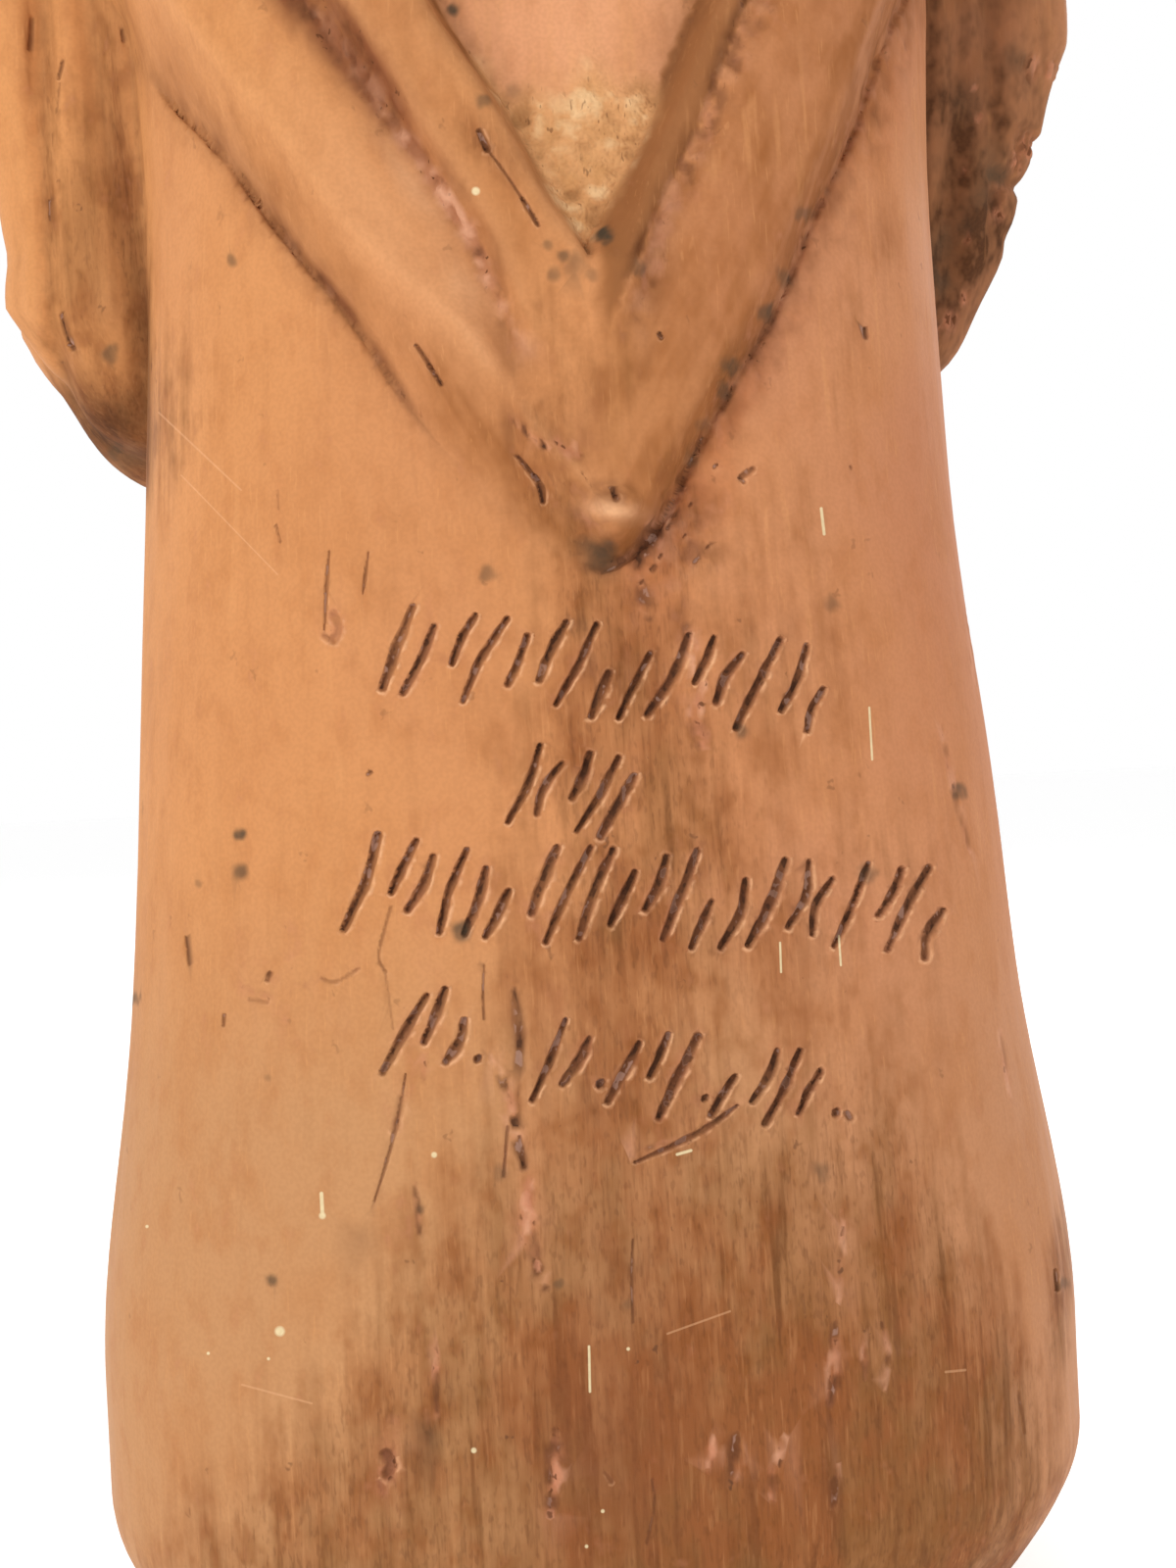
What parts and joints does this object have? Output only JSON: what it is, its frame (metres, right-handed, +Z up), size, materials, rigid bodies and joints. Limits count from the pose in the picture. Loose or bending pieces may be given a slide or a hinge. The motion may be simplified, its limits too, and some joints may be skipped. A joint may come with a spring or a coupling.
{
  "type": "saint statue",
  "caption": "Standing hooded saint figure of burnished fired clay with joined hands, robe and draped mantle on a low base.",
  "frame": {"origin": "centre of the flat underside of the low base", "axes": "+Z up along the figure's height; the figure faces -Y, its back towards +Y, its left hand on +X"},
  "size_m": [0.1986, 0.1584, 0.56],
  "materials": {
    "terracotta": "satin"
  },
  "bodies": {
    "root": {"saint_statue": "terracotta"}
  },
  "joints": []
}
